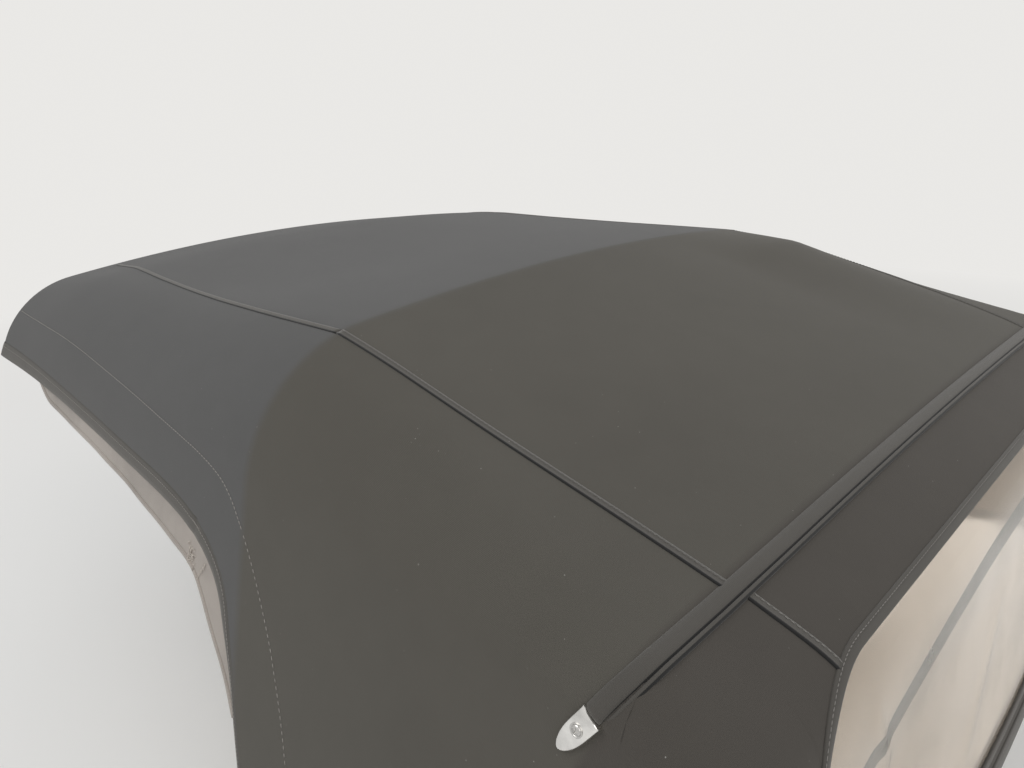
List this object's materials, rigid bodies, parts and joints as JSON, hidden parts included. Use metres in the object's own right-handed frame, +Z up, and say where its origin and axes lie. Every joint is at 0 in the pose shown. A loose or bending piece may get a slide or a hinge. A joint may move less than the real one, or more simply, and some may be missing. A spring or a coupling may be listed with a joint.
{
  "type": "convertible car soft top",
  "caption": "Folding fabric top for an open car: cloth over bows and side rails on a hinged linkage, with a clear rear window and a chrome-tipped rear welt.",
  "frame": {"origin": "centre of the four bolts that hold the two pivot brackets, on the underside of the brackets' feet", "axes": "+X to the front of the car, +Y to its left, +Z up"},
  "size_m": [1.3515, 1.2002, 0.698],
  "materials": {
    "cloth": "matt canvas weave, dark charcoal",
    "cloth_trim": "matt binding tape, near black",
    "lining": "greige napped lining",
    "webbing": "black webbing",
    "window_vinyl": "clear flexible vinyl, slightly wavy",
    "frame_paint": "satin black paint on steel",
    "header_paint": "satin black paint",
    "pin_steel": "zinc-plated steel",
    "bright_metal": "polished chrome",
    "seal_rubber": "moulded rubber"
  },
  "bodies": {
    "root": {"bracket_left": "frame_paint", "bracket_right": "frame_paint", "pivot_pin_left": "pin_steel", "pivot_pin_right": "pin_steel", "control_pin_left": "pin_steel", "control_pin_right": "pin_steel", "belt_rail": "frame_paint", "quarter_left": "cloth", "quarter_right": "cloth", "post_lining_left": "lining", "post_lining_right": "lining", "rear_curtain": "cloth", "rear_window": "window_vinyl", "window_binding": "cloth_trim"},
    "main_links": {"main_link_left": "frame_paint", "main_link_right": "frame_paint", "knee_pin_left": "pin_steel", "knee_pin_right": "pin_steel"},
    "front_frame": {"side_rail_left": "frame_paint", "side_rail_right": "frame_paint", "link_pin_left": "pin_steel", "link_pin_right": "pin_steel", "catch_left": "bright_metal", "catch_right": "bright_metal", "rail_seal_left": "seal_rubber", "rail_seal_right": "seal_rubber", "front_lining_left": "lining", "front_lining_right": "lining", "front_strap_left": "webbing", "front_strap_right": "webbing", "rear_strap_left": "webbing", "rear_strap_right": "webbing", "middle_bow": "frame_paint", "header": "header_paint", "header_seal": "seal_rubber", "front_deck": "cloth", "rear_deck": "cloth"},
    "rear_hoop": {"rear_bow": "frame_paint", "rear_arm_left": "frame_paint", "rear_arm_right": "frame_paint", "welt_tip_left": "bright_metal", "welt_tip_right": "bright_metal", "welt": "cloth_trim"},
    "control_links": {"control_link_left": "frame_paint", "control_link_right": "frame_paint"}
  },
  "joints": [
    {"name": "roof_fold", "type": "hinge", "parent": "root", "child": "main_links", "pos_m": [0, 0, 0.07], "axis": [0, -1, 0], "range_deg": [0, 90]},
    {"name": "frame_level", "type": "hinge", "parent": "main_links", "child": "front_frame", "pos_m": [0.25, 0, 0.49], "axis": [0, -1, 0], "range_deg": [-90, 0], "deforming": ["rear_deck", "rear_strap_left", "rear_strap_right"]},
    {"name": "rear_hoop_fold", "type": "hinge", "parent": "root", "child": "rear_hoop", "pos_m": [0, 0, 0.07], "axis": [0, -1, 0], "range_deg": [0, 38.7], "deforming": ["quarter_left", "quarter_right", "rear_curtain", "rear_window", "window_binding", "post_lining_left", "post_lining_right"]},
    {"name": "control_fold", "type": "hinge", "parent": "root", "child": "control_links", "pos_m": [0.05702, 0, 0.09906], "axis": [0, -1, 0], "range_deg": [0, 90]}
  ],
  "couplings": [
    {"joint": "frame_level", "follows": "roof_fold", "ratio": -1},
    {"joint": "rear_hoop_fold", "follows": "roof_fold", "ratio": 0.43},
    {"joint": "control_fold", "follows": "roof_fold", "ratio": 1}
  ]
}
